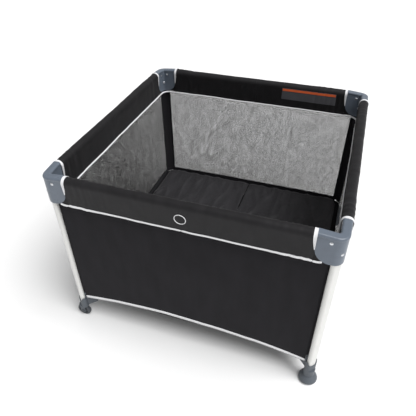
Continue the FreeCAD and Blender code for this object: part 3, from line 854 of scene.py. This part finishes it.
@dataclass
class RailSleeve(HalfSide):
    """The padded sleeve on half a rail, with its end binding and its two lines of piping."""

    cells: tuple[int, int] = (64, 44)
    radius: float = 0.0187  # of the padded top
    crest: float = 0.7625  # its highest line
    flap_out: float = 0.0098  # from the rail's plane to the outer flap's lower edge
    flap_in: float = 0.0148  # from the rail's plane to the inner flap's lower edge
    thickness: float = 0.0030
    piping: float = 0.0029
    binding: float = 0.0105
    binding_from: float = 0.050  # from a flap's edge to the binding, round the cover
    drop: float = 0.0040  # how much lower the inner flap hangs

    def profile(self) -> Points:
        """The cover's section from the inner flap over the top to the outer one, as out and up."""
        centre = self.crest - self.radius
        arc = np.linspace(math.pi, 0, 25)
        top = np.stack([self.radius * np.cos(arc), centre + self.radius * np.sin(arc)], axis=1)
        inner = [-self.flap_in, SIZES.flap_low - self.drop]
        return np.vstack([inner, top, [self.flap_out, SIZES.flap_low]])

    def girth(self) -> float:
        """The cover's width before it was rolled."""
        return float(np.linalg.norm(np.diff(self.profile(), axis=0), axis=1).sum())

    def surface(self, reach: Points, girth_at: Points, lift: float | Points) -> Points:
        """Places on the cover.

        Args:
            reach: Distance from the middle of the side.
            girth_at: Distance round the cover from the inner flap's lower edge.
            lift: How far off the cover's face.

        Returns:
            The places as rows.
        """
        line = self.profile()
        run = np.concatenate([[0], np.cumsum(np.linalg.norm(np.diff(line, axis=0), axis=1))])
        step = 0.0015
        (out, up), (out_on, up_on), (out_back, up_back) = (
            [np.interp(at, run, line[:, column]) for column in (0, 1)]
            for at in (girth_at, girth_at + step, girth_at - step)
        )
        d_out, d_up = out_on - out_back, up_on - up_back
        size = np.maximum(np.hypot(d_out, d_up), 1e-9)
        along = reach * self.sign
        seed = 11.0 + len(self.side.label) * 2.3 + 5.0 * (self.side is Side.BACK)
        lumps = ripple(along, girth_at, (7.0, 9.0), seed) * 0.0020
        lumps += ripple(along, girth_at, (30.0, 14.0), seed + 1) * 0.0008
        gather = ripple(along, girth_at, (85.0, 6.0), seed + 2) * 0.0030
        gather *= ease(0.22, SIZES.sleeve_end, reach)
        off = lift + (lumps + gather) * ease(0, 0.012, reach + 0.012)
        out, up = out - d_up / size * off, up + d_out / size * off
        return self.side.place(along, SIZES.rail_plane + out, up)

    def patch(
        self,
        name: str,
        reach: Pair,
        girth_at: Pair,
        cells: tuple[int, int],
        lift: float = 0.0,
        thickness: float = 0.0,
        narrow: float = 0.0,
    ) -> Piece:
        """A piece of cloth that lies on the cover between given distances.

        Args:
            name: The piece's name.
            reach: Where it starts and ends along the rail.
            girth_at: Where it starts and ends round the cover.
            cells: How many cells it has each way.
            lift: How far its outer face lies off the cover.
            thickness: Its thickness, inwards from that face.
            narrow: The share of its length that it loses at its two ends round the cover.

        Returns:
            The piece, with its thickness.
        """
        length, width = reach[1] - reach[0], girth_at[1] - girth_at[0]
        piece = cloth_grid(name, (length, width), cells)

        def lay(points: Points) -> Points:
            """Lays the flat cloth on the cover."""
            kept = 1 - narrow * np.abs(points[:, 1] * 2 / width) ** 2.5
            at = reach[1] - (length / 2 - points[:, 0]) * kept
            return self.surface(at, points[:, 1] + sum(girth_at) / 2, lift)

        move_points(piece, lay, flip=self.side.mirrored != (self.sign < 0))
        thicken(piece, thickness, -1.0)
        return piece

    def cover(self) -> Piece:
        """Builds the padded cover."""
        piece = self.patch(
            f"sleeve_{self.label}",
            (SIZES.sleeve_start, SIZES.sleeve_end),
            (0.0, self.girth()),
            self.cells,
            thickness=self.thickness,
        )
        dress(piece, Finish.SLEEVE_FABRIC)
        return piece

    def end_binding(self) -> Piece:
        """Builds the white tape round the sleeve's end at the bracket."""
        end = SIZES.sleeve_end + 0.0006
        piece = self.patch(
            f"sleeve_binding_{self.label}",
            (end - self.binding, end),
            (self.binding_from, self.girth() - self.binding_from),
            (5, 36),
            lift=0.0013,
            thickness=0.0022,
            narrow=0.8,
        )
        dress(piece, Finish.BINDING)
        return piece

    def flap_piping(self, outer: bool) -> Piece:
        """Builds the white piping on one flap's lower edge."""
        reach = np.linspace(SIZES.sleeve_start, SIZES.sleeve_end, 72)
        at = np.full_like(reach, self.girth() - 0.0005 if outer else 0.0005)
        size = self.piping if outer else INNER_PIPING
        line = self.surface(reach, at, size * 0.5 if outer else 0.0)
        sag = ripple(reach * self.sign, 0 * reach, (16.0, 1), 31.0) * 0.0012
        line[:, 2] += sag * ease(0, 0.05, SIZES.sleeve_end - reach)
        swell = 1 + 0 * reach
        if outer:
            puckers = 1 + 0.5 * ripple(reach, 0 * reach, (95.0, 1), 37.0)
            swell += 0.4 * ease(0.22, SIZES.sleeve_end, reach) * puckers
        name = f"sleeve_piping_{'outer' if outer else 'inner'}_{self.label}"
        return piping_roll(name, line, self.side.outward, size, swell)

    def build(self) -> None:
        """Builds the sleeve and hangs it on its half rail."""
        body = f"rail_{self.label}"
        cover = self.cover()
        trims = [self.end_binding(), self.flap_piping(True), self.flap_piping(False)]
        hang(cover, body, "sleeve_fabric", f"rail_sleeve_{self.label}")
        for trim in trims:
            hang(trim, body, "sleeve_fabric")
        for piece in (cover, *trims):
            flatten_on_rail(piece)


def flatten_on_rail(piece: Piece) -> None:
    """Gives a piece on a sleeve its own copy of its mesh."""
    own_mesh(piece)


@dataclass
class CornerGusset(HalfSide):
    """The flaps that run on from a sleeve under the bracket to the leg, with one piping."""

    arc_radius: float = 0.052  # of the bracket plate's lower edge
    arc_x: float = 0.475
    reach_end: float = 0.4705
    apart: float = 0.0100  # from the rail's plane: between the rail's path and the plate
    thickness: float = 0.0007
    piping: float = 0.0034
    hook: float = 0.451  # where the piping ends, just under the plate's edge
    under: float = 0.003  # how far the cloth reaches in behind the plate
    cut_share: float = 0.4  # of the rectangle round it that a flap is put down as

    @property
    def corner(self) -> str:
        """The name of the corner that the flaps are fixed to."""
        own, half = self.side.label, self.side.halves[self.half]
        return self.label if self.side in (Side.FRONT, Side.BACK) else f"{half}_{own}"

    def high(self, reach: Points) -> Points:
        """The flap's upper edge: a little way in behind the plate's curved edge."""
        fall = np.clip(self.arc_x - reach, 0, self.arc_radius)
        drop = np.sqrt(self.arc_radius**2 - fall**2)
        return SIZES.bracket_low + self.arc_radius - drop + self.under

    def flap(self, outer: int) -> Piece:
        """Builds one flap, on the outer side for 1 and on the inner side for -1."""
        start = SIZES.sleeve_end + SLEEVE_GAP
        length, height = self.reach_end - start, self.arc_radius
        name = f"gusset_{'outer' if outer > 0 else 'inner'}_{self.label}"
        piece = cloth_grid(name, (length, height), (20, 14))

        def stand(points: Points) -> Points:
            """Stands the flap in its plane, under the plate's curve."""
            reach = start + points[:, 0] + length / 2
            share = points[:, 1] / height + 0.5
            up = SIZES.flap_low + share * (self.high(reach) - SIZES.flap_low)
            out = SIZES.rail_plane + outer * self.apart + 0 * reach
            return self.side.place(reach * self.sign, out, up)

        move_points(piece, stand, flip=self.side.mirrored == (self.sign < 0))
        dress(piece, Finish.SLEEVE_FABRIC)
        thicken(piece, self.thickness)
        return piece

    def outer_piping(self) -> Piece:
        """Builds the piping on the outer flap, which turns up at the bracket's foot."""
        reach = np.linspace(SIZES.sleeve_end + SLEEVE_GAP, self.hook, 18)
        up = SIZES.flap_low - self.piping * 0.1
        up = up + 0.0030 * ease(self.hook - 0.014, self.hook, reach)
        out = SIZES.rail_plane + self.apart + self.piping * 0.9 + 0 * reach
        line = self.side.place(reach * self.sign, out, up)
        return piping_roll(f"gusset_piping_{self.label}", line, self.side.outward, self.piping)

    def build(self) -> None:
        """Builds the two flaps and the piping, and fixes them to the leg."""
        outer, inner, piping = self.flap(1), self.flap(-1), self.outer_piping()
        for made in (outer, inner, piping):
            hang(made, f"leg_{self.corner}", "sleeve_fabric")
        for flap, trims in ((outer, [piping]), (inner, [])):
            f"corner_bracket_{self.corner}"


@dataclass
class CornerPiping:
    """The inner piping where it runs round a corner, close under the bracket."""

    quarter: Quarter
    bend: float = 0.034  # radius of the turn

    def build(self) -> None:
        """Builds the piping from one sleeve's end to the next one's and fixes it to the leg."""
        flat = SIZES.rail_plane - RailSleeve.flap_in
        centre = flat - self.bend
        turn = np.linspace(0, math.pi / 2, 15)
        start = SIZES.sleeve_end + SLEEVE_GAP
        x = [start, *(centre + self.bend * np.sin(turn)), flat]
        y = [flat, *(centre + self.bend * np.cos(turn)), start]
        level = SIZES.bracket_low - INNER_PIPING * 1.1 - 0.0003
        line = self.quarter.place(np.array(x), np.array(y), np.full(len(x), level))
        ahead = np.gradient(line, axis=0)
        ahead /= np.linalg.norm(ahead, axis=1)[:, None]
        across = np.stack([ahead[:, 1], -ahead[:, 0], 0 * ahead[:, 0]], axis=1)
        name = self.quarter.label
        piece = piping_roll(f"corner_piping_{name}", line, across, INNER_PIPING)
        hang(piece, f"leg_{name}", "sleeve_fabric")


@dataclass
class SleeveMarks:
    """The plain ring on the front rail and the plain sewn label inside the back rail."""

    ring_radius: float = 0.0195
    ring_thread: float = 0.0015
    ring_up: float = 0.052  # from the outer flap's lower edge, round the cover
    label_reach: Pair = (0.127, 0.378)
    label_girth: Pair = (0.043, 0.098)
    band_width: float = 0.011

    def ring(self) -> None:
        """Builds the embroidered ring in two halves, one on each half of the front rail."""
        for half, name in enumerate(Side.FRONT.halves):
            sleeve = RailSleeve(Side.FRONT, half)
            clear_selection()
            bpy.ops.mesh.primitive_torus_add(
                major_radius=self.ring_radius,
                minor_radius=self.ring_thread,
                major_segments=96,
                minor_segments=8,
            )
            piece = named(f"rail_ring_{name}")
            edit(
                piece,
                lambda: bpy.ops.mesh.bisect(
                    plane_co=(SIZES.sleeve_start, 0, 0),
                    plane_no=(1, 0, 0),
                    clear_inner=True,
                    use_fill=True,
                ),
            )
            centre = sleeve.girth() - self.ring_up
            move_points(
                piece, lambda p: sleeve.surface(p[:, 0], centre + p[:, 1], p[:, 2] + 0.0006)
            )
            edit(piece, lambda: bpy.ops.mesh.normals_make_consistent(inside=False))
            smooth(piece)
            dress(piece, Finish.BINDING)
            hang(piece, f"rail_front_{name}", "sleeve_fabric")
            flatten_on_rail(piece)

    def label(self) -> None:
        """Builds the sewn label: a dark patch with a coloured band along its top."""
        sleeve = RailSleeve(Side.BACK, 1)
        low, high = self.label_girth
        for name, reach, girth_at, lift, finish in (
            ("care_label", self.label_reach, (low, high), 0.0012, Finish.LABEL_CLOTH),
            (
                "care_label_band",
                (self.label_reach[0] + 0.003, self.label_reach[1] - 0.003),
                (high - self.band_width - 0.002, high - 0.002),
                0.0017,
                Finish.LABEL_BAND,
            ),
        ):
            piece = sleeve.patch(name, reach, girth_at, (48, 12), lift=lift, thickness=0.0008)
            dress(piece, finish)
            hang(piece, "rail_back_right", "sleeve_fabric")
            flatten_on_rail(piece)

    def build(self) -> None:
        """Builds the ring and the label."""
        self.ring()
        self.label()


# ---- mattress and floor ----
@dataclass
class Mattress:
    """The quilted mattress in its four quarters."""

    corner_radius: float = 0.045
    channel: float = 0.238  # where each quarter is sewn through
    cells: int = 62
    edge_round: float = 0.016

    def height(
        self, quarter: Quarter, x: Points, y: Points, reach: float, top: float
    ) -> Points:
        """The top face's height: slack cloth, sewn lines and rounded outer edges."""
        where = (x * quarter.value[0], y * quarter.value[1])
        broad = ripple(*where, (6.0, 3.0), 41.0) * 0.0022
        folds = 0.0075 * (0.5 - np.abs(ripple(*where, (15.0, 4.5), 43.0))) ** 3 * 8
        fine = ripple(*where, (38.0, 20.0), 44.0) * 0.0007
        edge = np.minimum(reach - x, reach - y)
        fall = 0.006 * (1 - ease(0, self.edge_round, edge))
        sewn = 0.0028 * np.exp(-(((x - self.channel) / 0.0045) ** 2))
        joint = 0.0030 * np.exp(-((x / 0.006) ** 2)) + 0.0022 * np.exp(-((y / 0.006) ** 2))
        return top - 0.0030 + broad + folds + fine - fall - sewn - joint

    def build(self) -> None:
        """Builds the quarters and lays each on its strut."""
        low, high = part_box("mattress")
        reach, thickness = high.x, high.z - low.z
        size = reach - BASE_SEAM
        for quarter in Quarter:
            piece = cloth_grid(f"mattress_{quarter.label}", (size, size), (self.cells, self.cells))

            def lay(points: Points) -> Points:
                """Rounds the outer corner and gives the top its relief."""
                x, y = points[:, 0] + size / 2, points[:, 1] + size / 2
                inner = size - self.corner_radius
                dx, dy = np.clip(x - inner, 0, None), np.clip(y - inner, 0, None)
                far = np.maximum(np.hypot(dx, dy), 1e-9)
                shrink = np.where((dx > 0) & (dy > 0), np.maximum(dx, dy) / far, 1.0)
                x = np.where(dx > 0, inner + dx * shrink, x)
                y = np.where(dy > 0, inner + dy * shrink, y)
                up = self.height(quarter, x, y, size, high.z)
                return quarter.place(x + BASE_SEAM, y + BASE_SEAM, up)

            move_points(piece, lay, flip=quarter.mirrored)
            finish_with(piece, "SOLIDIFY", thickness=thickness - 0.002, offset=-1.0)
            floor = low.z + 0.0002
            move_points(piece, lambda p: np.column_stack([p[:, :2], np.maximum(p[:, 2], floor)]))
            finish_with(piece, "SUBSURF", levels=1, render_levels=1)
            smooth(piece, 70.0)
            dress(piece, Finish.MATTRESS_FABRIC)
            hang(piece, f"strut_{quarter.label}", "mattress_fabric", "mattress")
            quarter.fold_in(piece)


@dataclass
class FloorSheet:
    """The sewn floor under the mattress, in the same four quarters, with the hub's pull strap."""

    cells: int = 28
    hole: float = 0.046  # radius of the opening round the hub
    drawn: float = 0.12  # from the hub's axis to where the sheet isn't drawn out any more
    corner: float = 0.027  # cut off, where the strip crosses the corner

    def quarter(
        self, quarter: Quarter, reach: float, level: float, thickness: float
    ) -> Piece:
        """Builds one quarter, open round the hub and cut off at its corner."""
        size = reach - BASE_SEAM
        middle_at = reach / 2 + BASE_SEAM / 2
        piece = cloth_grid(f"floor_sheet_{quarter.label}", (size, size), (self.cells, self.cells))

        def spread(points: Points) -> Points:
            """Lays the sheet, with its points near the hub drawn out to the hole's edge."""
            x, y = points[:, 0] + middle_at, points[:, 1] + middle_at
            far = np.maximum(np.hypot(x, y), 1e-9)
            wanted = self.hole + far * (1 - self.hole / self.drawn)
            scale = np.where(far < self.drawn, wanted / far, 1.0)
            up = level + 0 * x
            return np.stack([x * scale, y * scale, up], axis=1)

        move_points(piece, spread)
        cut = reach - self.corner / 2
        edit(
            piece,
            lambda: bpy.ops.mesh.bisect(
                plane_co=(cut, cut, level), plane_no=(1, 1, 0), clear_outer=True
            ),
        )
        move_points(piece, lambda p: quarter.place(*p.T), flip=quarter.mirrored)
        thicken(piece, thickness)
        return piece

    def build(self) -> None:
        """Builds the four quarters and the strap."""
        low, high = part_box("floor_sheet")
        for quarter in Quarter:
            piece = self.quarter(quarter, high.x, (low.z + high.z) / 2, (high.z - low.z) * 0.8)
            dress(piece, Finish.FLOOR_FABRIC)
            hang(piece, f"strut_{quarter.label}", "floor_fabric", "floor_sheet")
            quarter.fold_in(piece)
            strut = f"strut_{quarter.label}"
        self.strap()

    def strap(self) -> None:
        """Builds the flat strap on the hub's cap that the pen is folded with."""
        low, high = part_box("pull_strap")
        length, width = high.x - low.x, high.y - low.y
        thickness = (high.z - low.z) * 0.6
        piece = cloth_grid("pull_strap_webbing", (length, width), (32, 10))

        def lie(points: Points) -> Points:
            """Lays the strap with its edges turned down a little."""
            up = (low.z + high.z) / 2 + 0.0001 - 0.0002 * (np.abs(points[:, 1]) * 2 / width) ** 3
            return np.stack([points[:, 0], points[:, 1], up], axis=1)

        move_points(piece, lie)
        thicken(piece, thickness)
        dress(piece, Finish.WEBBING)
        hang(piece, "hub", "webbing", "pull_strap")


# ---- frame parts ----
@dataclass
class FootWing:
    """The moulded wing of a foot socket: a channel that runs inwards and holds the strut's end."""

    quarter: Quarter
    root: float = 0.014  # from the leg's axis, along the diagonal
    bend: float = 0.058  # where the underside starts to rise
    tip: float = 0.100
    low: float = 0.0615
    tip_low: float = 0.129
    over_strut: float = 0.0058  # how far the edges stand over the strut's axis
    half: float = 0.0088
    thickness: float = 0.0032
    web: float = 0.24  # share of the girth that is the channel's floor

    def build(self) -> None:
        """Builds the wing and fixes it to its leg."""
        name = self.quarter.label
        top = middle(f"strut_{name}", 2) + self.over_strut
        length, girth = self.tip - self.root, 0.16
        piece = cloth_grid(f"foot_wing_{name}", (length, girth), (26, 24))
        corner = np.array([*self.quarter.value, 0.0])
        ahead = -corner / math.sqrt(2)
        across = np.array([-ahead[1], ahead[0], 0.0])
        leg = corner * SIZES.leg_axis

        def shape(points: Points) -> Points:
            """Folds the flat blank to a channel with a hollow, rising underside."""
            reach = self.root + points[:, 0] + length / 2
            share = points[:, 1] * 2 / girth
            rise = np.clip((reach - self.bend) / (self.tip - self.bend), 0, 1)
            floor = self.low + (self.tip_low - self.low) * np.sqrt(1 - (1 - rise) ** 2)
            edge = top - 0.012 * ease(self.tip - 0.014, self.tip, reach) ** 2
            side = np.clip((np.abs(share) - self.web) / (1 - self.web), 0, 1)
            out = self.half * np.clip(share / self.web, -1, 1)
            up = floor + side * (edge - floor)
            return leg + reach[:, None] * ahead + out[:, None] * across + up[:, None] * UP

        move_points(piece, shape)
        finish_with(piece, "SOLIDIFY", thickness=self.thickness, offset=0.0, use_rim=True)
        edit(piece, lambda: bpy.ops.mesh.normals_make_consistent(inside=False))
        sharp = math.radians(40)
        finish_with(
            piece, "BEVEL", width=0.0007, segments=2, limit_method="ANGLE", angle_limit=sharp
        )
        smooth(piece, 40.0)
        dress(piece, Finish.FOOT_GREY)
        hang(piece, f"leg_{name}", "foot_grey")


@dataclass
class FrameParts:
    """The finishes of the frame's own parts."""

    by_name: tuple[tuple[str, Finish], ...] = (
        ("corner_bracket_", Finish.MOULDED_GREY),
        ("foot_socket_", Finish.FOOT_GREY),
        ("foot_pad_", Finish.FOOT_GREY),
        ("leg_", Finish.LEG_WHITE),
        ("wheel_axle_", Finish.WHEEL_GREY),
        ("wheel_", Finish.WHEEL_GREY),
        ("fasteners_", Finish.BRIGHT_STEEL),
        ("lock_housing_", Finish.LOCK_PLASTIC),
        ("lock_button_", Finish.BUTTON_PLASTIC),
        ("rail_", Finish.RAIL_STEEL),
        ("strut_", Finish.RAIL_STEEL),
        ("hub_pins", Finish.BRIGHT_STEEL),
        ("hub_", Finish.HUB_PLASTIC),
    )

    def build(self) -> None:
        """Dresses every CAD node that shows."""
        for name, node in sorted(frame["nodes"].items()):
            if node.hide_render:
                continue
            finish = next(f for start, f in self.by_name if name.startswith(start))
            dress(node, finish)
            LOG.info("%s dressed as %s", name, finish.name.lower())


# ---- studio ----
@dataclass
class Studio:
    """The pale floor, the soft light and the camera."""

    floor_half: float = 9.0
    sky: float = 0.38
    spread: float = 40.0  # the lamp's width in degrees, as seen from the pen
    lens: float = 37.6
    camera_at: Colour = (0.4273, -1.4753, 1.5925)
    camera_right: Colour = (0.94699, 0.32116, -0.00772)
    camera_down: Colour = (0.19616, -0.59710, -0.77782)
    camera_ahead: Colour = (-0.25442, 0.73507, -0.62845)

    def floor(self) -> None:
        """Lays the floor."""
        clear_selection()
        bpy.ops.mesh.primitive_plane_add(size=2 * self.floor_half)
        ground = named("studio_floor")
        bench = NodeBench("studio_floor")
        pale = (0.93, 0.93, 0.93, 1)
        material = bench.coat(Base_Color=pale, Roughness=0.9, Specular_IOR_Level=0.1)
        ground.data.materials.append(material)

    def sun(self, toward: Colour, strength: float) -> None:
        """Hangs the wide soft lamp overhead.

        Args:
            toward: The direction from the pen to the lamp.
            strength: Its strength in watts per square metre.
        """
        data = bpy.data.lights.new("soft_lamp", "SUN")
        data.energy, data.angle = strength, math.radians(self.spread)
        lamp = bpy.data.objects.new("soft_lamp", data)
        bpy.context.scene.collection.objects.link(lamp)
        lamp.location = Vector(toward) * 3
        lamp.rotation_euler = (-Vector(toward)).to_track_quat("-Z", "Y").to_euler()

    def light(self) -> None:
        """Sets the sky and hangs the lamp."""
        world = bpy.data.worlds.new("studio")
        bpy.context.scene.world = world
        world.use_nodes = True
        tree = world.node_tree
        sky = tree.nodes["Background"]
        sky.inputs[0].default_value = (1, 1, 1, 1)
        seen = tree.nodes.new("ShaderNodeLightPath").outputs["Is Camera Ray"]
        strength = tree.nodes.new("ShaderNodeMapRange")
        strength.inputs["To Min"].default_value = self.sky
        tree.links.new(seen, strength.inputs["Value"])
        tree.links.new(strength.outputs[0], sky.inputs[1])
        self.sun((0.55, -0.15, 1.0), 3.1)

    def camera(self) -> None:
        """Sets the camera."""
        data = bpy.data.cameras.new("camera")
        data.lens, data.sensor_width = self.lens, 36.0
        camera = bpy.data.objects.new("camera", data)
        bpy.context.scene.collection.objects.link(camera)
        right, up = Vector(self.camera_right), -Vector(self.camera_down)
        back = -Vector(self.camera_ahead)
        turn = Matrix((right, up, back)).transposed()
        camera.matrix_world = Matrix.Translation(self.camera_at) @ turn.to_4x4()
        bpy.context.scene.camera = camera

    def build(self) -> None:
        """Builds the studio."""
        bpy.context.scene.view_settings.view_transform = "Standard"
        self.floor()
        self.light()
        self.camera()


def main() -> None:
    """Builds the pen's sewn parts and the studio."""
    logging.basicConfig(level=logging.INFO, format="%(message)s")
    Studio().build()
    FabricWall(Side.FRONT, netting=False, hem_height=0.168, hem_drop=(0.037, 0.050)).build()
    for side in (Side.BACK, Side.LEFT, Side.RIGHT):
        FabricWall(side, netting=True).build()
    for side in Side:
        for half in (0, 1):
            RailSleeve(side, half).build()
            CornerGusset(side, half).build()
    for quarter in Quarter:
        CornerStrip(quarter).build()
        CornerPiping(quarter).build()
        FootWing(quarter).build()
    SleeveMarks().build()
    Mattress().build()
    FloorSheet().build()
    FrameParts().build()


if __name__ == "__main__":
    main()
